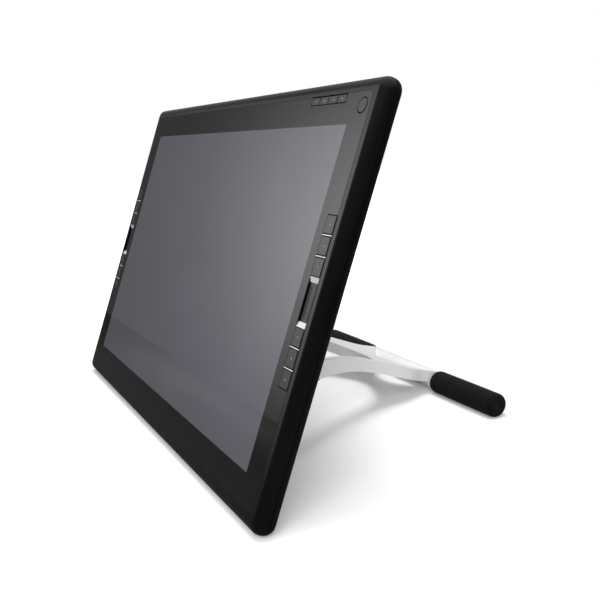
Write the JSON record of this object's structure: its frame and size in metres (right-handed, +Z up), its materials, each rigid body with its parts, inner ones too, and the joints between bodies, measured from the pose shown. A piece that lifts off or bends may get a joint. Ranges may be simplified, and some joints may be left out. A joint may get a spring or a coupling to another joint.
{
  "type": "graphics tablet with screen",
  "caption": "Pen display with flush glass, key columns and touch strips beside the picture, leaning on a folding cast leg with foam grips.",
  "frame": {"origin": "middle of the bounding box's underside, on the table that the soles and grips stand on", "axes": "+X to the user's right along the tablet's width, +Y away from the user, +Z up"},
  "size_m": [0.4766, 0.3088, 0.3063],
  "materials": {
    "housing": "satin black moulded plastic",
    "screen_glass": "clear cover glass, dark printed border",
    "seal": "black adhesive tape",
    "panel": "dark grey, switched off",
    "sheet_steel": "bright zinc-coated sheet",
    "light_guide": "clear light guide and white foils",
    "circuit_board": "green laminate",
    "pillar_brass": "turned",
    "socket_shell": "bright drawn shell",
    "socket_body": "black moulding",
    "key_plastic": "fine matt dark grey",
    "silicone": "translucent grey silicone",
    "screw_steel": "black oxide",
    "black_rubber": "matt",
    "leg_paint": "light silver-grey satin paint on cast aluminium",
    "rod_steel": "bright drawn bar",
    "foam": "dense black foam",
    "strip_plastic": "smooth black",
    "bright_trim": "silver satin",
    "bracket_steel": "grey powder coat"
  },
  "bodies": {
    "tablet": {"front_frame": "housing", "rear_cover": "housing", "cover_glass": "screen_glass", "glass_seal": "seal", "display_cell": "panel", "backlight_tray": "light_guide", "pen_sensor_board": "circuit_board", "shield_plate": "sheet_steel", "chassis_plate": "sheet_steel", "board_standoffs": "pillar_brass", "main_board": "circuit_board", "backlight_driver_board": "circuit_board", "video_socket": "socket_shell", "usb_socket": "socket_shell", "dc_socket": "socket_body", "menu_key_mat": "silicone", "menu_key_board": "circuit_board", "housing_screws": "screw_steel", "bracket_screws": "screw_steel", "lower_soles": "black_rubber", "key_mat_right": "silicone", "key_board_right": "circuit_board", "touch_strip_right": "strip_plastic", "strip_ramps_right": "bright_trim", "key_dividers_right": "bright_trim", "hinge_bracket_right": "bracket_steel", "hinge_pin_right": "rod_steel", "friction_washers_right": "sheet_steel", "key_mat_left": "silicone", "key_board_left": "circuit_board", "touch_strip_left": "strip_plastic", "strip_ramps_left": "bright_trim", "key_dividers_left": "bright_trim", "hinge_bracket_left": "bracket_steel", "hinge_pin_left": "rod_steel", "friction_washers_left": "sheet_steel"},
    "folding_leg": {"leg": "leg_paint", "leg_studs": "black_rubber", "grip_rod": "rod_steel", "grip_right": "foam", "grip_left": "foam"},
    "power_key": {"power_key": "key_plastic"},
    "key_right_1": {"key_right_1": "key_plastic"},
    "key_right_2": {"key_right_2": "key_plastic"},
    "key_right_3": {"key_right_3": "key_plastic"},
    "key_right_4": {"key_right_4": "key_plastic"},
    "key_right_5": {"key_right_5": "key_plastic"},
    "key_right_6": {"key_right_6": "key_plastic"},
    "key_left_1": {"key_left_1": "key_plastic"},
    "key_left_2": {"key_left_2": "key_plastic"},
    "key_left_3": {"key_left_3": "key_plastic"},
    "key_left_4": {"key_left_4": "key_plastic"},
    "key_left_5": {"key_left_5": "key_plastic"},
    "key_left_6": {"key_left_6": "key_plastic"},
    "menu_key_1": {"menu_key_1": "key_plastic"},
    "menu_key_2": {"menu_key_2": "key_plastic"},
    "menu_key_3": {"menu_key_3": "key_plastic"},
    "menu_key_4": {"menu_key_4": "key_plastic"}
  },
  "joints": [
    {"name": "leg_hinge", "type": "hinge", "parent": "tablet", "child": "folding_leg", "pos_m": [0, -0.07677, 0.08193], "axis": [1, 0, 0], "range_deg": [0, 78]},
    {"name": "power_key_press", "type": "slide", "parent": "tablet", "child": "power_key", "axis": [0, 0.9367, -0.3502], "range_m": [0, 0.0007], "stiffness_N_per_m": 700},
    {"name": "key_right_1_press", "type": "slide", "parent": "tablet", "child": "key_right_1", "axis": [0, 0.9367, -0.3502], "range_m": [0, 0.0007], "stiffness_N_per_m": 700},
    {"name": "key_right_2_press", "type": "slide", "parent": "tablet", "child": "key_right_2", "axis": [0, 0.9367, -0.3502], "range_m": [0, 0.0007], "stiffness_N_per_m": 700},
    {"name": "key_right_3_press", "type": "slide", "parent": "tablet", "child": "key_right_3", "axis": [0, 0.9367, -0.3502], "range_m": [0, 0.0007], "stiffness_N_per_m": 700},
    {"name": "key_right_4_press", "type": "slide", "parent": "tablet", "child": "key_right_4", "axis": [0, 0.9367, -0.3502], "range_m": [0, 0.0007], "stiffness_N_per_m": 700},
    {"name": "key_right_5_press", "type": "slide", "parent": "tablet", "child": "key_right_5", "axis": [0, 0.9367, -0.3502], "range_m": [0, 0.0007], "stiffness_N_per_m": 700},
    {"name": "key_right_6_press", "type": "slide", "parent": "tablet", "child": "key_right_6", "axis": [0, 0.9367, -0.3502], "range_m": [0, 0.0007], "stiffness_N_per_m": 700},
    {"name": "key_left_1_press", "type": "slide", "parent": "tablet", "child": "key_left_1", "axis": [0, 0.9367, -0.3502], "range_m": [0, 0.0007], "stiffness_N_per_m": 700},
    {"name": "key_left_2_press", "type": "slide", "parent": "tablet", "child": "key_left_2", "axis": [0, 0.9367, -0.3502], "range_m": [0, 0.0007], "stiffness_N_per_m": 700},
    {"name": "key_left_3_press", "type": "slide", "parent": "tablet", "child": "key_left_3", "axis": [0, 0.9367, -0.3502], "range_m": [0, 0.0007], "stiffness_N_per_m": 700},
    {"name": "key_left_4_press", "type": "slide", "parent": "tablet", "child": "key_left_4", "axis": [0, 0.9367, -0.3502], "range_m": [0, 0.0007], "stiffness_N_per_m": 700},
    {"name": "key_left_5_press", "type": "slide", "parent": "tablet", "child": "key_left_5", "axis": [0, 0.9367, -0.3502], "range_m": [0, 0.0007], "stiffness_N_per_m": 700},
    {"name": "key_left_6_press", "type": "slide", "parent": "tablet", "child": "key_left_6", "axis": [0, 0.9367, -0.3502], "range_m": [0, 0.0007], "stiffness_N_per_m": 700},
    {"name": "menu_key_1_press", "type": "slide", "parent": "tablet", "child": "menu_key_1", "axis": [0, 0.9367, -0.3502], "range_m": [0, 0.0007], "stiffness_N_per_m": 700},
    {"name": "menu_key_2_press", "type": "slide", "parent": "tablet", "child": "menu_key_2", "axis": [0, 0.9367, -0.3502], "range_m": [0, 0.0007], "stiffness_N_per_m": 700},
    {"name": "menu_key_3_press", "type": "slide", "parent": "tablet", "child": "menu_key_3", "axis": [0, 0.9367, -0.3502], "range_m": [0, 0.0007], "stiffness_N_per_m": 700},
    {"name": "menu_key_4_press", "type": "slide", "parent": "tablet", "child": "menu_key_4", "axis": [0, 0.9367, -0.3502], "range_m": [0, 0.0007], "stiffness_N_per_m": 700}
  ]
}
